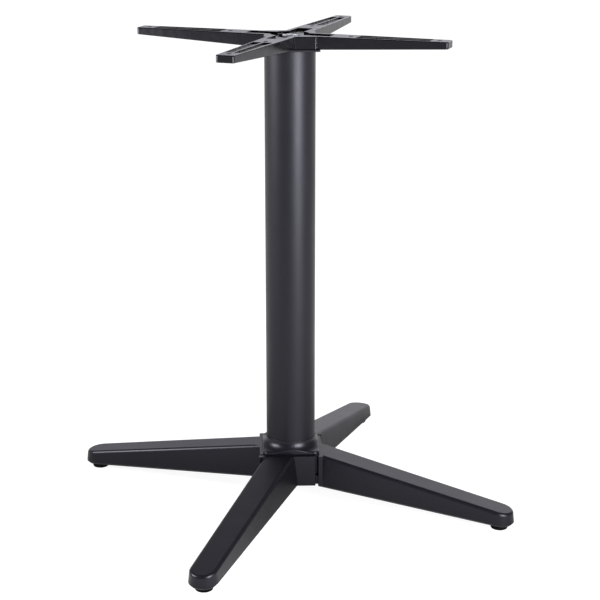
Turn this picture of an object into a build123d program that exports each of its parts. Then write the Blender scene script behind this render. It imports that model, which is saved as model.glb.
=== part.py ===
from build123d import *
from math import cos, radians, sin, tan
import os

# Four-legged pedestal table base, in millimetres with +Z up
# The origin is on the floor under the middle of the column
# One leg and one arm lie along +X, the others a quarter turn apart

# Overall
overall_height = 735.0
foot_circle_radius = 341.0
arm_tip_radius = 243.0
fit_clearance = 0.15
sides = {"right": 0, "back": 90, "left": 180, "front": 270}

# Column
column_diameter = 76.0
column_wall = 2.0

# Lower hub: a box open below, its faces turned from the legs
hub_turn = 22.5
core_half_width = 42.0
core_wall = 6.0
core_bottom = 39.0
core_top = 88.0
core_roof = 10.0
core_corner_radius = 2.0
core_inner_radius = 6.0
core_boss_diameter = 38.0
core_boss_depth = 6.0
core_spigot_height = 8.0
core_spigot_wall = 6.0
lug_height = 14.0
lug_depth = 5.0

# Collar round the foot of the column
collar_half_width = 44.0
collar_corner_radius = 9.0
collar_flange_height = 3.5
collar_flare_radius = 15.0
collar_lip = 0.6
collar_edge_round = 3.0

# Legs
shadow_gap = 1.8
plate_thickness = 7.0
plate_corner_gap = 4.4
plate_overhang = 1.6
plate_end_round = 1.5
plate_bottom = 37.0
leg_bottom = 34.6
leg_draft = 6.1
leg_plan_taper = 1.6
leg_end_radius = 23.6
leg_tip_top = 28.4
leg_tip_bottom = 7.2
leg_flat_reach = 53.6
leg_edge_round = 5.0
leg_tip_chamfer = 4.0
leg_side_wall = 4.5
leg_roof = 5.0
leg_rib = 4.0
leg_root_block = 18.0
leg_tip_block = 17.0
leg_cells = 3

# Leg bolts
bolt_diameter = 8.0
bolt_head_width = 13.0
bolt_head_height = 5.3
bolt_grip = 14.0
bolt_hole_spare = 2.0
bolt_washer_diameter = 16.0
bolt_washer_thickness = 1.6
bolt_low = 50.0
bolt_high = 69.5

# Feet
pad_diameter = 26.0
pad_height = 10.5
pad_edge_round = 2.0
pad_top_round = 0.8
stud_diameter = 8.0
stud_grip = 13.0
stud_in_pad = 6.0
stud_hole_spare = 1.0

# Centre rod with its nuts and washers
rod_diameter = 14.0
rod_stand = 1.0
rod_hole_spare = 0.5
nut_width = 22.0
nut_height = 11.0
nut_below_top = 2.0
nut_edge_chamfer = 1.2
washer_diameter = 30.0
washer_thickness = 2.5

# Plate on top of the column
top_plate_half_width = 43.0
top_plate_thickness = 2.5
top_plate_corner_radius = 1.5

# Top spider
spider_height = 19.0
spider_half_width = 38.5
spider_corner_radius = 3.0
spider_edge_round = 1.2
recess_diameter = 58.0
recess_depth = 4.0
nut_pocket_diameter = 36.0
arm_root_half_width = 19.4
arm_root_reach = 56.0
arm_tip_half_width = 13.4
arm_tip_height = 10.5
arm_tip_corner_radius = 4.0
arm_recess_reach = 66.0
arm_recess_half_width = 12.0
arm_recess_corner_radius = 3.0
arm_rim = 3.0
arm_rib = 3.0
arm_web_thickness = 4.0
groove_depth = 2.2
groove_corner_radius = 2.0
arm_hole_diameter = 7.0
arm_inner_hole_radius = 94.5
arm_outer_hole_inset = 16.0
arm_boss_radius = 11.5

# Cap screw that keeps the spider from turning
lock_radius = 22.0
lock_angle = 150.0
lock_pocket_spare = 0.5
lock_head_diameter = 10.0
lock_head_height = 6.0
lock_diameter = 6.0
lock_length = 18.0
lock_socket_width = 5.0
lock_socket_depth = 3.0

# Sizes that follow from the ones above
column_radius = column_diameter / 2
column_bore_radius = column_radius - column_wall
spider_bottom = overall_height - spider_height
column_top = spider_bottom - top_plate_thickness
leg_top = core_top - shadow_gap
plate_outer = core_half_width + plate_thickness
plate_short_end = core_half_width - plate_corner_gap
plate_long_end = plate_outer + plate_overhang
leg_end_reach = foot_circle_radius + leg_end_radius
beyond_leg = leg_end_reach + leg_end_radius
nut_top = overall_height - nut_below_top
spider_floor = nut_top - nut_height - washer_thickness
recess_floor = overall_height - recess_depth
arm_outer_hole_radius = arm_tip_radius - arm_outer_hole_inset
rod_top = nut_top + rod_stand
core_boss_bottom = core_top - core_roof - core_boss_depth
low_nut_bottom = core_boss_bottom - washer_thickness - nut_height
rod_bottom = low_nut_bottom - rod_stand
head_face = core_half_width - core_wall - bolt_washer_thickness
lock_head_bottom = nut_top - lock_head_height
lock_place = (lock_radius * cos(radians(lock_angle)), lock_radius * sin(radians(lock_angle)))
wide = 2 * plate_outer


def hub_face(angle, distance):
    """Upright plane of a lower hub face, its x axis level and its normal outwards."""
    turn = radians(angle + hub_turn)
    normal = Vector(cos(turn), sin(turn), 0)
    return Plane(origin=normal * distance, x_dir=(-sin(turn), cos(turn), 0), z_dir=normal)


def sloped(start, start_height, end, end_height, reach):
    """Height at a distance from the axis on a straight slope."""
    return start_height + (end_height - start_height) * (reach - start) / (end - start)


def leg_top_height(reach):
    return sloped(leg_flat_reach, leg_top, leg_end_reach, leg_tip_top, reach)


def leg_bottom_height(reach):
    return sloped(core_half_width, leg_bottom, leg_end_reach, leg_tip_bottom, reach)


def leg_plan(radius):
    """Root corner, tangent point and end of a leg's plan view round the foot."""
    taper = radians(leg_plan_taper)
    root = (0, -radius / cos(taper) - foot_circle_radius * tan(taper))
    tangent = (foot_circle_radius + radius * sin(taper), -radius * cos(taper))
    return root, tangent, (foot_circle_radius + radius, 0)


def leg_side(roof, underside):
    """Corners of a leg's side view, set in by a roof and an underside thickness."""
    return [
        (0, leg_top - roof),
        (0, leg_bottom_height(0) - underside),
        (beyond_leg, leg_bottom_height(beyond_leg) - underside),
        (beyond_leg, leg_top_height(beyond_leg) - roof),
        (leg_flat_reach, leg_top - roof),
    ]


def tapered_bar(radius, height):
    """Leg-shaped bar whose sides lean in with the casting's draft."""
    root, tangent, end = leg_plan(radius)
    with BuildPart() as bar:
        with BuildSketch():
            with BuildLine():
                Line(root, tangent)
                ThreePointArc(tangent, end, (tangent[0], -tangent[1]))
                Line((tangent[0], -tangent[1]), (root[0], -root[1]))
                Line((root[0], -root[1]), root)
            make_face()
        extrude(amount=height, taper=leg_draft)
    return bar.part


def leg_hollows():
    """The open cells under a leg, either side of its long rib."""
    start = plate_outer + leg_root_block
    end = foot_circle_radius - leg_tip_block
    cell_length = (end - start + leg_rib) / leg_cells - leg_rib
    with BuildPart() as hollows:
        add(tapered_bar(leg_end_radius - leg_side_wall, core_top))
        with BuildSketch():
            for number in range(leg_cells):
                middle = start + cell_length / 2 + number * (cell_length + leg_rib)
                with Locations((middle, wide / 2 + leg_rib / 2), (middle, -wide / 2 - leg_rib / 2)):
                    Rectangle(cell_length, wide)
        extrude(amount=core_top, mode=Mode.INTERSECT)
        with BuildSketch(Plane.XZ):
            with BuildLine():
                Polyline(*leg_side(leg_roof, leg_side_wall), close=True)
            make_face()
        extrude(amount=wide, both=True, mode=Mode.INTERSECT)
    return hollows.part


def leg_casting():
    """One leg with its root plate, lying along +X."""
    hollows = leg_hollows()
    bar = tapered_bar(leg_end_radius, core_top + leg_end_radius)
    with BuildPart() as leg:
        add(bar)
        with BuildSketch(Plane.XZ):
            with BuildLine():
                Polyline(*leg_side(0, 0), close=True)
            make_face()
        extrude(amount=wide, both=True, mode=Mode.INTERSECT)
        upper_faces = [face for face in leg.faces() if face.normal_at().Z > cos(radians(45))]
        rim = [edge for face in upper_faces for edge in face.edges() if edge.center().X > core_half_width
               and (abs(edge.center().Y) > leg_rib or edge.geom_type != GeomType.LINE)]
        fillet(rim, radius=leg_edge_round)
        tip = [edge for edge in leg.edges().filter_by(GeomType.ELLIPSE) if edge.center().Z < leg_bottom_height(0) / 2]
        chamfer(tip, length=leg_tip_chamfer)
        split(bisect_by=hub_face(0, core_half_width), keep=Keep.TOP)
        with BuildSketch(Plane.XY.offset(plate_bottom).rotated((0, 0, hub_turn))):
            with Locations((core_half_width + plate_thickness / 2, (plate_short_end - plate_long_end) / 2)):
                Rectangle(plate_thickness, plate_short_end + plate_long_end)
            fillet(vertices().group_by(Axis.X)[-1], radius=plate_end_round)
        extrude(amount=leg_top - plate_bottom)
        add(hollows, mode=Mode.SUBTRACT)
        with Locations(Location((foot_circle_radius, 0, pad_height))):
            Cylinder(pad_diameter / 2 + fit_clearance, pad_height, align=(Align.CENTER, Align.CENTER, Align.MAX),
                     mode=Mode.SUBTRACT)
            Cylinder(stud_diameter / 2 + fit_clearance, stud_grip + stud_hole_spare,
                     align=(Align.CENTER, Align.CENTER, Align.MIN), mode=Mode.SUBTRACT)
        with Locations(*bolt_places(0, core_half_width)):
            Cylinder(bolt_diameter / 2 + fit_clearance, 2 * (bolt_grip + bolt_hole_spare), mode=Mode.SUBTRACT)
    return leg.part


def bolt_places(angle, distance):
    """Where the two bolts of a leg cross a plane parallel to its hub face."""
    face = hub_face(angle, distance)
    level = -plate_outer * tan(radians(hub_turn))
    return [face * Location((level, height, 0)) for height in (bolt_low, bolt_high)]


def ring(outer, inner, bottom, top):
    """Plain round ring or washer about the column's axis."""
    with BuildPart() as body:
        with BuildSketch(Plane.XY.offset(bottom)):
            Circle(outer)
            Circle(inner, mode=Mode.SUBTRACT)
        extrude(amount=top - bottom)
    return body.part


def rod_nut(bottom):
    """Hexagon nut on the centre rod, bevelled round its upper and lower corners."""
    corner = nut_width / 2 / cos(radians(30))
    with BuildPart() as bevel:
        with BuildSketch(Plane.XY.offset(bottom)):
            Circle(corner)
        extrude(amount=nut_height)
        chamfer(bevel.edges().filter_by(GeomType.CIRCLE), length=nut_edge_chamfer)
    with BuildPart() as nut:
        with BuildSketch(Plane.XY.offset(bottom)):
            RegularPolygon(corner, 6)
            Circle(rod_diameter / 2, mode=Mode.SUBTRACT)
        extrude(amount=nut_height)
        add(bevel.part, mode=Mode.INTERSECT)
    return nut.part


def arm_outline():
    """Corners of a spider arm's plan view, lying along +X."""
    return [
        (0, -arm_half_width(0)),
        (arm_tip_radius, -arm_tip_half_width),
        (arm_tip_radius, arm_tip_half_width),
        (0, arm_half_width(0)),
    ]


def arm_half_width(reach):
    return sloped(arm_root_reach, arm_root_half_width, arm_tip_radius, arm_tip_half_width, reach)


def spider_arm():
    """One arm along +X, thinner towards its tip and rounded along its lower edges."""
    with BuildPart() as arm:
        with BuildSketch(Plane.XZ):
            with BuildLine():
                Polyline(
                    (0, spider_bottom),
                    (arm_root_reach, spider_bottom),
                    (arm_tip_radius, overall_height - arm_tip_height),
                    (arm_tip_radius, overall_height),
                    (0, overall_height),
                    close=True,
                )
            make_face()
        extrude(amount=2 * arm_root_half_width, both=True)
        with BuildSketch(Plane.XY.offset(spider_bottom)):
            with BuildLine():
                Polyline(*arm_outline(), close=True)
            make_face()
            fillet(vertices().group_by(Axis.X)[-1], radius=arm_tip_corner_radius)
        extrude(amount=spider_height, mode=Mode.INTERSECT)
        under_faces = [face for face in arm.faces() if face.normal_at().Z < -cos(radians(45))]
        keel = [edge for face in under_faces for edge in face.edges() if edge.center().X > arm_tip_corner_radius
                and (abs(edge.center().Y) > arm_rib or edge.center().X > arm_outer_hole_radius)]
        fillet(keel, radius=spider_edge_round)
    return arm.part


def groove_outline():
    """Corners of one of the two grooves along an arm, between its two holes."""
    start = arm_inner_hole_radius + arm_boss_radius
    end = arm_outer_hole_radius - arm_boss_radius
    return [
        (start, arm_rib / 2),
        (end, arm_rib / 2),
        (end, arm_half_width(end) - arm_rim),
        (start, arm_half_width(start) - arm_rim),
    ]


def arm_hollows():
    """Grooves above and cells below, which leave a web and a middle rib in an arm."""
    web_top = overall_height - groove_depth
    web_bottom = web_top - arm_web_thickness
    with BuildPart() as hollows:
        with BuildSketch(Plane.XY.offset(spider_bottom)):
            with BuildLine():
                Polyline(*groove_outline(), close=True)
            make_face()
            fillet(vertices(), radius=groove_corner_radius)
            mirror(about=Plane.XZ)
        extrude(amount=spider_height)
        with BuildSketch(Plane.XY.offset(web_bottom)):
            Rectangle(4 * arm_tip_radius, 4 * arm_tip_half_width)
        extrude(amount=arm_web_thickness, mode=Mode.SUBTRACT)
    return hollows.part


# The column, a round tube
with BuildPart() as column_tube:
    add(ring(column_radius, column_bore_radius, core_top, column_top))

# The collar, a square flange with a hollow flare round the foot of the column
with BuildPart() as base_collar:
    flange_top = core_top + collar_flange_height
    flare_top_radius = column_radius + collar_lip
    flare_foot_radius = flare_top_radius + collar_flare_radius
    flare_top = flange_top + collar_flare_radius
    slant = collar_flare_radius * (1 - cos(radians(45)))
    with BuildSketch(Plane.XZ):
        with BuildLine():
            Line((column_radius + fit_clearance, core_top), (2 * collar_half_width, core_top))
            Line((2 * collar_half_width, core_top), (2 * collar_half_width, flange_top))
            Line((2 * collar_half_width, flange_top), (flare_foot_radius, flange_top))
            ThreePointArc((flare_foot_radius, flange_top), (flare_top_radius + slant, flange_top + slant),
                          (flare_top_radius, flare_top))
            Line((flare_top_radius, flare_top), (column_radius + fit_clearance, flare_top))
            Line((column_radius + fit_clearance, flare_top), (column_radius + fit_clearance, core_top))
        make_face()
    revolve(axis=Axis.Z)
    with BuildSketch(Plane.XY.offset(core_top)):
        Rectangle(2 * collar_half_width, 2 * collar_half_width, rotation=hub_turn)
        fillet(vertices(), radius=collar_corner_radius)
    extrude(amount=collar_flange_height + collar_flare_radius, mode=Mode.INTERSECT)
    rim = [edge for edge in base_collar.edges() if edge.center().Z > flange_top - collar_edge_round
           and Vector(edge.center().X, edge.center().Y).length > collar_half_width - fit_clearance]
    fillet(rim, radius=collar_edge_round)

# The lower hub, a square box that is open below
with BuildPart() as hub_core:
    with BuildSketch(Plane.XY.offset(core_bottom)):
        Rectangle(2 * core_half_width, 2 * core_half_width, rotation=hub_turn)
        fillet(vertices(), radius=core_corner_radius)
    extrude(amount=core_top - core_bottom)
    inner_half_width = core_half_width - core_wall
    with BuildSketch(Plane.XY.offset(core_bottom)):
        Rectangle(2 * inner_half_width, 2 * inner_half_width, rotation=hub_turn)
        fillet(vertices(), radius=core_inner_radius)
    extrude(amount=core_top - core_roof - core_bottom, mode=Mode.SUBTRACT)
    lug_start = plate_short_end + fit_clearance
    for angle in sides.values():
        with BuildSketch(hub_face(angle, inner_half_width + core_wall / 2)):
            with Locations(((lug_start + core_half_width) / 2, core_bottom + lug_height / 2)):
                Rectangle(core_half_width - lug_start, lug_height)
        extrude(amount=core_wall / 2 + lug_depth)
        with Locations(*bolt_places(angle, core_half_width - core_wall / 2)):
            Cylinder(bolt_diameter / 2 + fit_clearance, 2 * core_wall, mode=Mode.SUBTRACT)
    with BuildSketch(Plane.XY.offset(core_boss_bottom)):
        Circle(core_boss_diameter / 2)
    extrude(amount=core_top - core_boss_bottom)
    with BuildSketch(Plane.XY.offset(core_top)):
        Circle(column_bore_radius - fit_clearance)
    extrude(amount=core_spigot_height)
    with BuildSketch(Plane.XY.offset(core_top)):
        Circle(column_bore_radius - fit_clearance - core_spigot_wall)
    extrude(amount=core_spigot_height, mode=Mode.SUBTRACT)
    with BuildSketch(Plane.XY.offset(core_boss_bottom)):
        Circle(rod_diameter / 2 + rod_hole_spare)
    extrude(amount=core_top - core_boss_bottom, mode=Mode.SUBTRACT)

# The plate on top of the column
with BuildPart() as column_top_plate:
    with BuildSketch(Plane.XY.offset(column_top)):
        Rectangle(2 * top_plate_half_width, 2 * top_plate_half_width, rotation=hub_turn)
        fillet(vertices(), radius=top_plate_corner_radius)
        Circle(rod_diameter / 2 + rod_hole_spare, mode=Mode.SUBTRACT)
        with Locations(lock_place):
            Circle(lock_diameter / 2 + fit_clearance, mode=Mode.SUBTRACT)
    extrude(amount=top_plate_thickness)

# The top spider, a casting with a square hub and four arms that thin towards their tips
with BuildPart() as top_spider:
    with BuildSketch(Plane.XY.offset(spider_bottom)):
        Rectangle(2 * spider_half_width, 2 * spider_half_width, rotation=hub_turn)
        fillet(vertices(), radius=spider_corner_radius)
    extrude(amount=spider_height)
    for angle in sides.values():
        add(spider_arm().rotate(Axis.Z, angle))
    fillet(top_spider.faces().sort_by(Axis.Z)[-1].outer_wire().edges(), radius=spider_edge_round)
    for angle in sides.values():
        add(arm_hollows().rotate(Axis.Z, angle), mode=Mode.SUBTRACT)
    with BuildSketch(Plane.XY.offset(spider_bottom)):
        with PolarLocations(arm_inner_hole_radius, len(sides)):
            Circle(arm_hole_diameter / 2)
        with PolarLocations(arm_outer_hole_radius, len(sides)):
            Circle(arm_hole_diameter / 2)
    extrude(amount=spider_height, mode=Mode.SUBTRACT)
    with BuildSketch(Plane.XY.offset(recess_floor)):
        Circle(recess_diameter / 2)
        for angle in sides.values():
            with Locations(Location((0, 0, 0), (0, 0, angle)) * Location((arm_recess_reach / 2, 0, 0))):
                RectangleRounded(arm_recess_reach, 2 * arm_recess_half_width, arm_recess_corner_radius)
    extrude(amount=recess_depth, mode=Mode.SUBTRACT)
    with BuildSketch(Plane.XY.offset(spider_floor)):
        Circle(nut_pocket_diameter / 2)
    extrude(amount=spider_height, mode=Mode.SUBTRACT)
    with BuildSketch(Plane.XY.offset(lock_head_bottom)):
        with Locations(lock_place):
            Circle(lock_head_diameter / 2 + lock_pocket_spare)
    extrude(amount=spider_height, mode=Mode.SUBTRACT)
    with BuildSketch(Plane.XY.offset(spider_bottom)):
        Circle(rod_diameter / 2 + rod_hole_spare)
        with Locations(lock_place):
            Circle(lock_diameter / 2 + fit_clearance)
    extrude(amount=spider_height, mode=Mode.SUBTRACT)

# The cap screw of the spider
with BuildPart() as spider_lock_screw:
    with BuildSketch(Plane.XY.offset(lock_head_bottom)):
        with Locations(lock_place):
            Circle(lock_head_diameter / 2)
    extrude(amount=lock_head_height)
    with BuildSketch(Plane.XY.offset(nut_top - lock_socket_depth)):
        with Locations(lock_place):
            RegularPolygon(lock_socket_width / 2, 6, major_radius=False)
    extrude(amount=lock_socket_depth, mode=Mode.SUBTRACT)
    with BuildSketch(Plane.XY.offset(lock_head_bottom - lock_length)):
        with Locations(lock_place):
            Circle(lock_diameter / 2)
    extrude(amount=lock_length)

# The centre rod that draws spider, column and lower hub together
with BuildPart() as tie_rod:
    with BuildSketch(Plane.XY.offset(rod_bottom)):
        Circle(rod_diameter / 2)
    extrude(amount=rod_top - rod_bottom)
    chamfer(tie_rod.edges().filter_by(GeomType.CIRCLE), length=nut_edge_chamfer)

with BuildPart() as rod_top_nut:
    add(rod_nut(nut_top - nut_height))

with BuildPart() as rod_bottom_nut:
    add(rod_nut(low_nut_bottom))

with BuildPart() as rod_top_washer:
    add(ring(washer_diameter / 2, rod_diameter / 2 + fit_clearance, spider_floor, spider_floor + washer_thickness))

with BuildPart() as rod_bottom_washer:
    add(ring(washer_diameter / 2, rod_diameter / 2 + fit_clearance, core_boss_bottom - washer_thickness,
             core_boss_bottom))

# The hexagon bolts that hold the legs, their heads inside the lower hub
with BuildPart() as leg_bolts:
    for angle in sides.values():
        for place in bolt_places(angle, head_face):
            with BuildSketch(Plane(place)):
                RegularPolygon(bolt_head_width / 2, 6, major_radius=False)
            extrude(amount=-bolt_head_height)
            with BuildSketch(Plane(place)):
                Circle(bolt_diameter / 2)
            extrude(amount=core_half_width - head_face + bolt_grip)

with BuildPart() as leg_bolt_washers:
    for angle in sides.values():
        for place in bolt_places(angle, head_face):
            with BuildSketch(Plane(place)):
                Circle(bolt_washer_diameter / 2)
                Circle(bolt_diameter / 2 + fit_clearance, mode=Mode.SUBTRACT)
            extrude(amount=bolt_washer_thickness)

# One foot, under the tip of the leg along +X
with BuildPart() as foot:
    with BuildSketch():
        with Locations((foot_circle_radius, 0)):
            Circle(pad_diameter / 2)
    extrude(amount=pad_height)
    fillet(foot.edges().filter_by(GeomType.CIRCLE).sort_by(Axis.Z)[0], radius=pad_edge_round)
    fillet(foot.edges().filter_by(GeomType.CIRCLE).sort_by(Axis.Z)[-1], radius=pad_top_round)
    with BuildSketch(Plane.XY.offset(pad_height - stud_in_pad)):
        with Locations((foot_circle_radius, 0)):
            Circle(stud_diameter / 2 + fit_clearance)
    extrude(amount=stud_in_pad, mode=Mode.SUBTRACT)

with BuildPart() as foot_studs:
    with BuildSketch(Plane.XY.offset(pad_height - stud_in_pad)):
        with PolarLocations(foot_circle_radius, len(sides)):
            Circle(stud_diameter / 2)
    extrude(amount=stud_in_pad + stud_grip)

pieces = {
    "column_tube": column_tube.part,
    "base_collar": base_collar.part,
    "hub_core": hub_core.part,
    "column_top_plate": column_top_plate.part,
    "top_spider": top_spider.part,
    "spider_lock_screw": spider_lock_screw.part,
    "tie_rod": tie_rod.part,
    "rod_top_nut": rod_top_nut.part,
    "rod_bottom_nut": rod_bottom_nut.part,
    "rod_top_washer": rod_top_washer.part,
    "rod_bottom_washer": rod_bottom_washer.part,
    "leg_bolts": leg_bolts.part,
    "leg_bolt_washers": leg_bolt_washers.part,
    "foot_studs": foot_studs.part,
}

leg_shape = leg_casting()
for side, angle in sides.items():
    pieces["leg_" + side] = leg_shape.rotate(Axis.Z, angle)
    pieces["foot_pad_" + side] = foot.part.rotate(Axis.Z, angle)

os.makedirs("parts", exist_ok=True)
for name, shape in pieces.items():
    shape.label = name
    export_step(shape, "parts/" + name + ".step")
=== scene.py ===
from collections import namedtuple
from math import cos, pi, radians, sin

import bpy
from bpy.props import FloatProperty, FloatVectorProperty, PointerProperty
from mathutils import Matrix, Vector

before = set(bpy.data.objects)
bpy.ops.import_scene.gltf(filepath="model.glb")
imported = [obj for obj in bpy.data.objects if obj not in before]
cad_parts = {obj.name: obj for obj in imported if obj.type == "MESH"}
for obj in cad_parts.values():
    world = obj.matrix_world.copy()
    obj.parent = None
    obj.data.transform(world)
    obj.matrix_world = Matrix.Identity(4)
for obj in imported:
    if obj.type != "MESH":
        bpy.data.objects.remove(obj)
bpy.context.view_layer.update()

bl_info = {
    "name": "Pedestal Table Base",
    "version": (1, 0, 0),
    "blender": (4, 5, 0),
    "location": "3D View > Sidebar > Table Base",
    "description": "Finishes a four-legged pedestal table base and lights it in a plain studio",
    "category": "Object",
}

MM = 0.001
SIDES = ("right", "back", "left", "front")

# Sizes in the finishes, in mm

EDGE_ROUND = 0.8        # powder flows over a sharp edge and leaves it about this round
SHEEN_PATCH = 60        # patches of slightly duller and shinier coat
FLECK = 1.2             # paler grains in the powder
ZINC_CLOUD = 4          # clouds of passivation on the zinc
ZINC_SCUFF = 0.6
ZINC_SCUFF_DEPTH = 0.01
NYLON_GRAIN = 0.5       # grain that the spark-eroded mould leaves
NYLON_GRAIN_DEPTH = 0.03
NYLON_SCUFF = 7

# Optical numbers of the finishes

NOISE_SPAN = (0.3, 0.7)                 # the stretch that most values of a noise lie in
FLECK_SPAN = (0.35, 0.65)
SHEEN_SPREAD = (-0.04, 0.04)            # how far the coat's roughness strays to either side
ZINC_SHEEN_SPREAD = (-0.06, 0.08)
LEVEL_TILT = (0.95, 0.995)              # how far a face looks up where it turns into a level one
CASTING_IOR = TUBE_IOR = 1.37
SPIDER_IOR = 1.38
OXIDE_IOR = 1.45
NYLON_IOR = 1.15

# The studio, in metres; turns are in degrees from the camera's side of the base

WHITE = (1, 1, 1, 1)
STUDIO_TINT = "#f0efff"
BACKDROP_TINT = "#f6f4ff"
PAPER_GREY = "#808080"
PAPER_WIDTH = 40
PAPER_SEEN = 0.9                        # glow of the paper for the camera, near the base
PAPER_FADE = (0.3, 0.8)                 # distances between which the glow turns to full white
# Painted light and painted shade in the paper's glow, which only reflections see
PAINTED_SPILL_REACH = (0.1, 0.4)                # distances ahead of the column where reflections brighten
PAINTED_SPILL_GLOW = (0.25, 1.3)
FOOT_REACH = 0.35                       # distance of the feet from the column's axis
# A painted shadow round each foot, in the glow that reflections see
FOOT_SHADE_REACH = (0.025, 0.07)        # distances from a foot between which its shade ends
FOOT_SHADE = (0.05, 1.0)
BACKDROP_EDGE = (0.5, 0.8)              # cosines to the far side between which the backdrop fades in
BACKDROP_GLOW = (0.25, 0.8)             # the dim room, then the pale backdrop
SENSOR_WIDTH = 36

# A lamp's face is a width and a height, and its aim a height on the column's axis. Its last word says
# whether it spares the spider or lights the spider alone.
Lamp = namedtuple("Lamp", "name turn distance height face aim brightness spider")
LAMPS = (
    Lamp("softbox_right", 36, 1.6, 0.8, (0.8, 1.1), 0.8, "right_brightness", "EXCLUDE"),
    Lamp("softbox_left", -75, 1.6, 1.0, (0.85, 0.75), 1.0, "left_brightness", "EXCLUDE"),
    Lamp("spot_right", 36, 1.6, 0.42, (0.5, 0.4), 0.42, "spot_brightness", "INCLUDE"),
    Lamp("spot_left", -75, 1.6, 0.42, (0.5, 0.4), 0.42, "spot_brightness", "INCLUDE"),
    Lamp("softbox_far", 170, 4.0, 2.3, (1.8, 0.9), 0.05, "far_brightness", None),
    Lamp("softbox_side", 150, 4.0, 1.6, (1.2, 1.2), 0.73, "far_brightness", None),
)


# Colours and nodes

# A Mix node has several sockets of one name, so these are taken by number
NUMBER_A, NUMBER_B, COLOUR_A, COLOUR_B = 2, 3, 6, 7
MIXED_NUMBER, MIXED_COLOUR = 0, 2


def linear(code):
    """An sRGB hex colour as the linear red, green, blue and alpha that shaders take."""
    channels = [int(code[i:i + 2], 16) / 255 for i in (1, 3, 5)]
    turned = [c / 12.92 if c <= 0.04045 else ((c + 0.055) / 1.055) ** 2.4 for c in channels]
    return (*turned, 1.0)


def add_node(tree, kind, place, settings=None, inputs=None):
    """Add one node with its settings; an input is a plain value or the socket that feeds it."""
    node = tree.nodes.new(kind)
    node.location = place
    for name, value in (settings or {}).items():
        setattr(node, name, value)
    for name, value in (inputs or {}).items():
        if isinstance(value, bpy.types.NodeSocket):
            tree.links.new(value, node.inputs[name])
        else:
            node.inputs[name].default_value = value
    return node


def add_noise(tree, place, where, size, detail, roughness=0.5):
    """Noise over a position, with features about this many mm across."""
    node = add_node(tree, "ShaderNodeTexNoise", place,
                    inputs={"Vector": where, "Scale": 1 / (size * MM), "Detail": detail,
                            "Roughness": roughness})
    return node.outputs["Fac"]


def add_range(tree, place, value, start, end, low, high):
    """Carry the stretch of a value from start to end over to the stretch from low to high."""
    node = add_node(tree, "ShaderNodeMapRange", place,
                    inputs={"Value": value, "From Min": start, "From Max": end,
                            "To Min": low, "To Max": high})
    return node.outputs["Result"]


def add_math(tree, place, operation, first, second):
    """One calculation on two numbers."""
    node = add_node(tree, "ShaderNodeMath", place, {"operation": operation}, {0: first, 1: second})
    return node.outputs[0]


def add_vector_math(tree, place, operation, first, second=(0, 0, 0)):
    """One calculation on two vectors, as the node that has outputs Vector and Value."""
    return add_node(tree, "ShaderNodeVectorMath", place, {"operation": operation},
                    {0: first, 1: second})


def add_colour_mix(tree, place, factor, first, second):
    """A colour between two others."""
    node = add_node(tree, "ShaderNodeMix", place, {"data_type": "RGBA"},
                    {"Factor": factor, COLOUR_A: first, COLOUR_B: second})
    return node.outputs[MIXED_COLOUR]


def add_bump(tree, place, height, depth, strength=1.0, over=None):
    """Relief this many mm deep, laid over another normal if there is one."""
    inputs = {"Height": height, "Strength": strength, "Distance": depth * MM}
    if over:
        inputs["Normal"] = over
    return add_node(tree, "ShaderNodeBump", place, inputs=inputs).outputs["Normal"]


def empty_material(name):
    """A material with nothing in its tree but the output."""
    material = bpy.data.materials.new(name)
    material.use_nodes = True
    material.node_tree.nodes.clear()
    output = add_node(material.node_tree, "ShaderNodeOutputMaterial", (900, 0))
    return material, material.node_tree, output


def object_position(tree):
    return add_node(tree, "ShaderNodeTexCoord", (-1200, 0)).outputs["Object"]


def finish_material(tree, output, inputs):
    """Close a material with one principled shader."""
    shader = add_node(tree, "ShaderNodeBsdfPrincipled", (500, 0), inputs=inputs)
    tree.links.new(shader.outputs["BSDF"], output.inputs["Surface"])


def powder_coat(name, colours, roughness, upper_roughness, pebble, wave, ior):
    """Baked polyester powder on metal: a slightly pebbled film over the waves of the surface below.

    The colours are those of the coat and of its fleck. Pebble and wave are each a width and a height
    in mm.
    """
    material, tree, output = empty_material(name)
    where = object_position(tree)
    pebbles = add_noise(tree, (-950, -300), where, pebble[0], 2.0)
    waves = add_noise(tree, (-950, -600), where, wave[0], 1.0, roughness=0.4)
    patches = add_noise(tree, (-950, 0), where, SHEEN_PATCH, 3.0)
    grains = add_noise(tree, (-950, 300), where, FLECK, 1.0)
    fleck = add_range(tree, (-700, 300), grains, *FLECK_SPAN, 0.0, 1.0)
    colour = add_colour_mix(tree, (-450, 300), fleck, *colours)
    gloss = add_range(tree, (-450, 0), patches, *NOISE_SPAN,
                      *[roughness + change for change in SHEEN_SPREAD])
    edges = add_node(tree, "ShaderNodeBevel", (-700, -600), {"samples": 4},
                     {"Radius": EDGE_ROUND * MM}).outputs["Normal"]
    # Faces that look up gather dust and wear against what lies on them, so their sheen differs
    facing = add_node(tree, "ShaderNodeSeparateXYZ", (-450, -850), inputs={"Vector": edges})
    level = add_range(tree, (-200, -850), facing.outputs["Z"], *LEVEL_TILT, 0.0, 1.0)
    sheen = add_node(tree, "ShaderNodeMix", (0, 0),
                     inputs={"Factor": level, NUMBER_A: gloss, NUMBER_B: upper_roughness})
    swell = add_bump(tree, (-450, -600), waves, wave[1], over=edges)
    relief = add_bump(tree, (-200, -300), pebbles, pebble[1], over=swell)
    # The coat's reflections are painted with a faint blue tint, standing in for the colour of the
    # studio light
    finish_material(tree, output, {"IOR": ior, "Specular Tint": linear(STUDIO_TINT),
                                   "Base Color": colour, "Roughness": sheen.outputs[MIXED_NUMBER],
                                   "Normal": relief})
    return material


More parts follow.
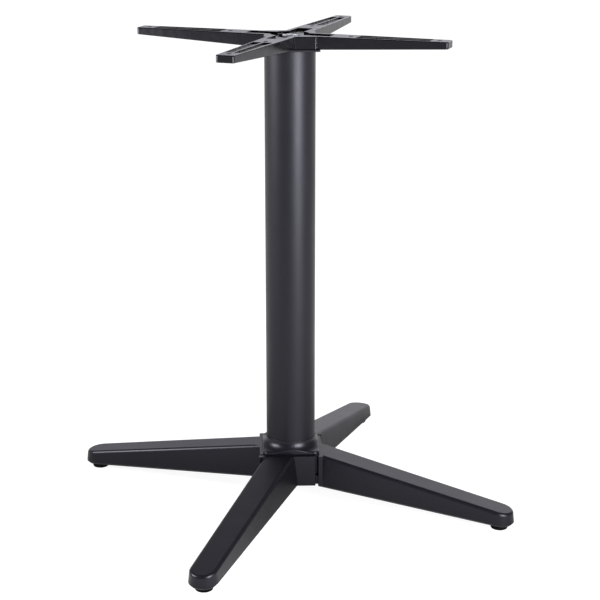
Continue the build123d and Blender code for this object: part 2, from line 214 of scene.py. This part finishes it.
def zinc_plate(name, colour, cloud_colour, roughness):
    """Bright zinc plate on steel: a grey-blue metal with a faint cloud of passivation."""
    material, tree, output = empty_material(name)
    where = object_position(tree)
    cloud = add_noise(tree, (-950, 0), where, ZINC_CLOUD, 4.0)
    scuffs = add_noise(tree, (-950, -300), where, ZINC_SCUFF, 2.0)
    tint = add_colour_mix(tree, (-450, 300), cloud, linear(colour), linear(cloud_colour))
    gloss = add_range(tree, (-450, 0), cloud, *NOISE_SPAN,
                      *[roughness + change for change in ZINC_SHEEN_SPREAD])
    relief = add_bump(tree, (-450, -300), scuffs, ZINC_SCUFF_DEPTH, strength=0.4)
    finish_material(tree, output, {"Metallic": 1.0, "Base Color": tint, "Roughness": gloss,
                                   "Normal": relief})
    return material


def moulded_nylon(name, dark, light, roughness):
    """Injection-moulded nylon: a matt skin with the fine grain of a spark-eroded mould."""
    material, tree, output = empty_material(name)
    where = object_position(tree)
    grain = add_noise(tree, (-950, -200), where, NYLON_GRAIN, 3.0)
    scuffs = add_noise(tree, (-950, 200), where, NYLON_SCUFF, 4.0)
    colour = add_colour_mix(tree, (-450, 300), scuffs, linear(dark), linear(light))
    relief = add_bump(tree, (-450, -300), grain, NYLON_GRAIN_DEPTH, strength=0.6)
    finish_material(tree, output, {"Roughness": roughness, "IOR": NYLON_IOR, "Base Color": colour,
                                   "Normal": relief})
    return material


def dress(node_names, material):
    """Give CAD nodes one material."""
    for name in node_names:
        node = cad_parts[name]
        node.data.materials.clear()
        node.data.materials.append(material)


# Sizes and colours that a user would change

class TableBaseFinish(bpy.types.PropertyGroup):
    coat_colour: FloatVectorProperty(
        name="Powder coat", description="Colour of the powder coat",
        subtype="COLOR", size=4, min=0, max=1, default=linear("#060609"))
    coat_fleck: FloatVectorProperty(
        name="Powder fleck", description="Colour of the paler grains in the coat",
        subtype="COLOR", size=4, min=0, max=1, default=linear("#0c0c10"))
    leg_roughness: FloatProperty(
        name="Casting roughness", description="Roughness of the coat on legs and hub",
        default=0.33, min=0, max=1, subtype="FACTOR")
    column_roughness: FloatProperty(
        name="Column roughness", description="Roughness of the coat on the column",
        default=0.42, min=0, max=1, subtype="FACTOR")
    spider_roughness: FloatProperty(
        name="Spider roughness", description="Roughness of the coat on the spider",
        default=0.22, min=0, max=1, subtype="FACTOR")


class TableBaseStudio(bpy.types.PropertyGroup):
    azimuth: FloatProperty(
        name="Camera azimuth", description="Turn of the camera round the column",
        default=radians(20.97), subtype="ANGLE", unit="ROTATION")
    distance: FloatProperty(
        name="Camera distance", description="Level distance from the column's axis",
        default=2.26313, subtype="DISTANCE", unit="LENGTH")
    height: FloatProperty(
        name="Camera height", description="Height of the camera above the floor",
        default=1.02139, subtype="DISTANCE", unit="LENGTH")
    pitch: FloatProperty(
        name="Camera pitch", description="Angle of the view below level",
        default=radians(17.065), subtype="ANGLE", unit="ROTATION")
    yaw: FloatProperty(
        name="Camera yaw", description="Angle of the view to the right of the axis",
        default=radians(0.3746), subtype="ANGLE", unit="ROTATION")
    lens: FloatProperty(
        name="Lens", description="Focal length on a 36 mm sensor",
        default=92.11, subtype="DISTANCE_CAMERA", unit="CAMERA")
    ambient: FloatProperty(
        name="Ambient", description="Strength of the even light from all round",
        default=0.35, min=0)
    right_brightness: FloatProperty(
        name="Right softbox", description="Brightness of the softbox on the right",
        default=23.0, min=0)
    left_brightness: FloatProperty(
        name="Left softbox", description="Brightness of the softbox on the left",
        default=20.0, min=0)
    spot_brightness: FloatProperty(
        name="Spots", description="Brightness of the two small lamps for the spider",
        default=26.0, min=0)
    far_brightness: FloatProperty(
        name="Far softboxes", description="Brightness of the two softboxes beyond the base",
        default=2.0, min=0)


# Operators, one for each piece or group of like pieces

class TABLEBASE_OT_coat_castings(bpy.types.Operator):
    """Coat the legs, the lower hub and its collar"""
    bl_idname = "tablebase.coat_castings"
    bl_label = "Coat Castings"

    def execute(self, context):
        finish = context.scene.table_base_finish
        # Satin black powder over a sanded casting: soft wide highlights and a faint pebble
        coat = powder_coat("powder_coat_on_casting", (finish.coat_colour, finish.coat_fleck),
                           finish.leg_roughness, upper_roughness=0.36,
                           pebble=(1.6, 0.03), wave=(25.0, 0.25), ior=CASTING_IOR)
        dress(["leg_" + side for side in SIDES] + ["hub_core", "base_collar"], coat)
        return {"FINISHED"}


class TABLEBASE_OT_coat_column(bpy.types.Operator):
    """Coat the column and the plate on it"""
    bl_idname = "tablebase.coat_column"
    bl_label = "Coat Column"

    def execute(self, context):
        finish = context.scene.table_base_finish
        # The same powder on drawn tube lies flatter, with a duller and shallower pebble
        coat = powder_coat("powder_coat_on_tube", (finish.coat_colour, finish.coat_fleck),
                           finish.column_roughness, upper_roughness=0.46,
                           pebble=(2.2, 0.02), wave=(90.0, 0.1), ior=TUBE_IOR)
        dress(["column_tube", "column_top_plate"], coat)
        return {"FINISHED"}


class TABLEBASE_OT_coat_spider(bpy.types.Operator):
    """Coat the top spider"""
    bl_idname = "tablebase.coat_spider"
    bl_label = "Coat Spider"

    def execute(self, context):
        finish = context.scene.table_base_finish
        # A glossier black film, through which the short waves of the rough casting show
        coat = powder_coat("gloss_coat_on_casting", (finish.coat_colour, finish.coat_fleck),
                           finish.spider_roughness, upper_roughness=0.22,
                           pebble=(2.4, 0.03), wave=(12.0, 0.3), ior=SPIDER_IOR)
        dress(["top_spider"], coat)
        return {"FINISHED"}


class TABLEBASE_OT_plate_hardware(bpy.types.Operator):
    """Plate the centre rod, the nuts, the washers, the bolts and the studs, and blacken the screw"""
    bl_idname = "tablebase.plate_hardware"
    bl_label = "Plate Hardware"

    def execute(self, context):
        zinc = zinc_plate("bright_zinc_plate", "#c4c7cc", "#a9adb5", 0.3)
        dress(["tie_rod", "rod_top_nut", "rod_bottom_nut", "rod_top_washer", "rod_bottom_washer",
               "leg_bolts", "leg_bolt_washers", "foot_studs"], zinc)
        # Oxide-black steel, a thin oiled film that stays dark and slightly glossy
        oxide = powder_coat("black_oxide_steel", (linear("#0b0b0c"), linear("#131314")),
                            0.35, upper_roughness=0.45,
                            pebble=(0.8, 0.01), wave=(5.0, 0.01), ior=OXIDE_IOR)
        dress(["spider_lock_screw"], oxide)
        return {"FINISHED"}


class TABLEBASE_OT_mould_feet(bpy.types.Operator):
    """Give the foot pads their moulded skin"""
    bl_idname = "tablebase.mould_feet"
    bl_label = "Mould Feet"

    def execute(self, context):
        nylon = moulded_nylon("moulded_nylon", "#08080a", "#0f0f11", 0.6)
        dress(["foot_pad_" + side for side in SIDES], nylon)
        return {"FINISHED"}


# The stage

def seen_directly(tree, place, ray):
    """1 for what the camera sees, also in a mirror or through glass, and 0 for light that falls."""
    x, y = place
    mirrored = add_math(tree, (x, y), "MAXIMUM",
                        ray.outputs["Is Camera Ray"], ray.outputs["Is Glossy Ray"])
    return add_math(tree, (x + 200, y), "MAXIMUM", mirrored, ray.outputs["Is Transmission Ray"])


def lay_paper(front):
    """Roll out the paper under the base."""
    bpy.ops.object.select_all(action="DESELECT")
    bpy.ops.mesh.primitive_plane_add(size=PAPER_WIDTH, location=(0, 0, 0))
    floor = bpy.context.object
    floor.name = "studio_floor"
    # White paper glows for the camera and in reflections, over a matt grey that takes the shadows
    paper, tree, output = empty_material("white_paper")
    ray = add_node(tree, "ShaderNodeLightPath", (-900, 200))
    spread = add_node(tree, "ShaderNodeTexCoord", (-1500, -50)).outputs["Object"]
    reach = add_vector_math(tree, (-700, -50), "LENGTH", spread).outputs["Value"]
    # In reflections its glow is painted dim under the base, as painted shade, and bright in front of
    # it, as a painted pool of light
    ahead = add_vector_math(tree, (-1100, -300), "DOT_PRODUCT", spread,
                            (cos(front), sin(front), 0)).outputs["Value"]
    painted_spill_glow = add_range(tree, (-900, -300), ahead, *PAINTED_SPILL_REACH, *PAINTED_SPILL_GLOW)
    # Round each foot its glow in reflections is painted darker, a painted shadow of the leg, which
    # the leg's lower rim mirrors
    quarter = add_vector_math(tree, (-1300, -600), "ABSOLUTE", spread).outputs["Vector"]
    gaps = [add_vector_math(tree, (-1100, height), "DISTANCE", quarter, foot).outputs["Value"]
            for height, foot in ((-600, (FOOT_REACH, 0, 0)), (-800, (0, FOOT_REACH, 0)))]
    nearest = add_math(tree, (-900, -600), "MINIMUM", *gaps)
    painted_foot_shade = add_range(tree, (-700, -600), nearest, *FOOT_SHADE_REACH, *FOOT_SHADE)
    mirrored = add_math(tree, (-700, -450), "MULTIPLY", painted_spill_glow, painted_foot_shade)
    # Away from the base the painted shade and light fade out, and its glow turns to full white there
    near = add_range(tree, (-650, -300), ray.outputs["Is Camera Ray"], 0.0, 1.0,
                     mirrored, PAPER_SEEN)
    fade = add_range(tree, (-450, -50), reach, *PAPER_FADE, near, 1.0)
    glow = add_math(tree, (-200, 300), "MULTIPLY", seen_directly(tree, (-600, 300), ray), fade)
    shine = add_node(tree, "ShaderNodeEmission", (0, 200), inputs={"Color": WHITE, "Strength": glow})
    matt = add_node(tree, "ShaderNodeBsdfDiffuse", (0, -100), inputs={"Color": linear(PAPER_GREY)})
    both = add_node(tree, "ShaderNodeAddShader", (400, 0),
                    inputs={0: shine.outputs[0], 1: matt.outputs[0]})
    tree.links.new(both.outputs[0], output.inputs["Surface"])
    floor.data.materials.append(paper)


def fill_room(scene, far_side, ambient):
    """Give the studio its air: white for the camera, an even light, and a room that coats mirror."""
    world = bpy.data.worlds.new("studio_air")
    scene.world = world
    world.use_nodes = True
    air = world.node_tree
    air.nodes.clear()
    ray = add_node(air, "ShaderNodeLightPath", (-900, 0))
    camera_ray = ray.outputs["Is Camera Ray"]
    # Shiny surfaces show a pale backdrop beyond the base and a dimmer room round it
    bearing = add_node(air, "ShaderNodeTexCoord", (-900, -300)).outputs["Generated"]
    beyond = add_vector_math(air, (-700, -300), "DOT_PRODUCT", bearing,
                             (cos(far_side), sin(far_side), 0)).outputs["Value"]
    backdrop = add_range(air, (-500, -300), beyond, *BACKDROP_EDGE, *BACKDROP_GLOW)
    walls = add_math(air, (-350, -150), "MAXIMUM", backdrop, camera_ray)
    level = add_range(air, (-200, 0), seen_directly(air, (-600, 0), ray), 0.0, 1.0, ambient, walls)
    cast = add_colour_mix(air, (-200, 200), camera_ray, linear(BACKDROP_TINT), WHITE)
    sky = add_node(air, "ShaderNodeBackground", (100, 0), inputs={"Color": cast, "Strength": level})
    end = add_node(air, "ShaderNodeOutputWorld", (400, 0))
    air.links.new(sky.outputs[0], end.inputs["Surface"])


def spider_group(name, state):
    """A group for light linking that holds the spider, to spare it or to light it alone."""
    group = bpy.data.collections.new(name)
    group.objects.link(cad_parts["top_spider"])
    group.collection_objects[0].light_linking.link_state = state
    return group


def hang_lamps(scene, studio, front):
    """Hang every lamp at its turn round the column, facing a point on the column's axis."""
    # The spider's flat top would throw the strong softboxes back as glare from behind, so these
    # spare it, and two lamps below that top light it alone
    groups = {"EXCLUDE": spider_group("flagged_from_softboxes", "EXCLUDE"),
              "INCLUDE": spider_group("lit_by_spots", "INCLUDE")}
    for lamp in LAMPS:
        width, height = lamp.face
        light = bpy.data.lights.new(lamp.name, "AREA")
        light.shape = "RECTANGLE"
        light.size, light.size_y = width, height
        light.energy = getattr(studio, lamp.brightness) * pi * width * height
        holder = bpy.data.objects.new(lamp.name, light)
        angle = front + radians(lamp.turn)
        holder.location = (lamp.distance * cos(angle), lamp.distance * sin(angle), lamp.height)
        holder.visible_camera = False
        beam = Vector((0, 0, lamp.aim)) - holder.location
        holder.rotation_euler = beam.to_track_quat("-Z", "Y").to_euler()
        scene.collection.objects.link(holder)
        if lamp.spider:
            holder.light_linking.receiver_collection = groups[lamp.spider]


def set_camera(scene, studio):
    """Stand the camera before the base, a little higher than its top."""
    lens = bpy.data.cameras.new("camera")
    lens.sensor_width = SENSOR_WIDTH
    lens.lens = studio.lens
    camera = bpy.data.objects.new("camera", lens)
    camera.location = (studio.distance * sin(studio.azimuth),
                       -studio.distance * cos(studio.azimuth), studio.height)
    camera.rotation_euler = (radians(90) - studio.pitch, 0, studio.azimuth - studio.yaw)
    scene.collection.objects.link(camera)
    scene.camera = camera
    scene.view_settings.view_transform = "Standard"


class TABLEBASE_OT_build_stage(bpy.types.Operator):
    """Lay the floor and set the studio light and the camera"""
    bl_idname = "tablebase.build_stage"
    bl_label = "Build Stage"

    def execute(self, context):
        studio = context.scene.table_base_studio
        front = studio.azimuth - radians(90)
        far_side = studio.azimuth + radians(90)
        lay_paper(front)
        fill_room(context.scene, far_side, studio.ambient)
        hang_lamps(context.scene, studio, front)
        set_camera(context.scene, studio)
        return {"FINISHED"}


class TABLEBASE_PT_sidebar(bpy.types.Panel):
    bl_idname = "TABLEBASE_PT_sidebar"
    bl_label = "Table Base"
    bl_space_type = "VIEW_3D"
    bl_region_type = "UI"
    bl_category = "Table Base"

    def draw(self, context):
        finish = context.scene.table_base_finish
        studio = context.scene.table_base_studio
        for step in STEPS:
            self.layout.operator(step.bl_idname)
        for name in finish.__annotations__:
            self.layout.prop(finish, name)
        for name in studio.__annotations__:
            self.layout.prop(studio, name)


GROUPS = (TableBaseFinish, TableBaseStudio)
STEPS = (TABLEBASE_OT_coat_castings, TABLEBASE_OT_coat_column, TABLEBASE_OT_coat_spider,
         TABLEBASE_OT_plate_hardware, TABLEBASE_OT_mould_feet, TABLEBASE_OT_build_stage)


def register():
    for item in (*GROUPS, *STEPS, TABLEBASE_PT_sidebar):
        bpy.utils.register_class(item)
    bpy.types.Scene.table_base_finish = PointerProperty(type=TableBaseFinish)
    bpy.types.Scene.table_base_studio = PointerProperty(type=TableBaseStudio)


def unregister():
    del bpy.types.Scene.table_base_studio
    del bpy.types.Scene.table_base_finish
    for item in reversed((*GROUPS, *STEPS, TABLEBASE_PT_sidebar)):
        bpy.utils.unregister_class(item)


def main():
    register()
    bpy.ops.tablebase.coat_castings()
    bpy.ops.tablebase.coat_column()
    bpy.ops.tablebase.coat_spider()
    bpy.ops.tablebase.plate_hardware()
    bpy.ops.tablebase.mould_feet()
    bpy.ops.tablebase.build_stage()


if __name__ == "__main__":
    main()
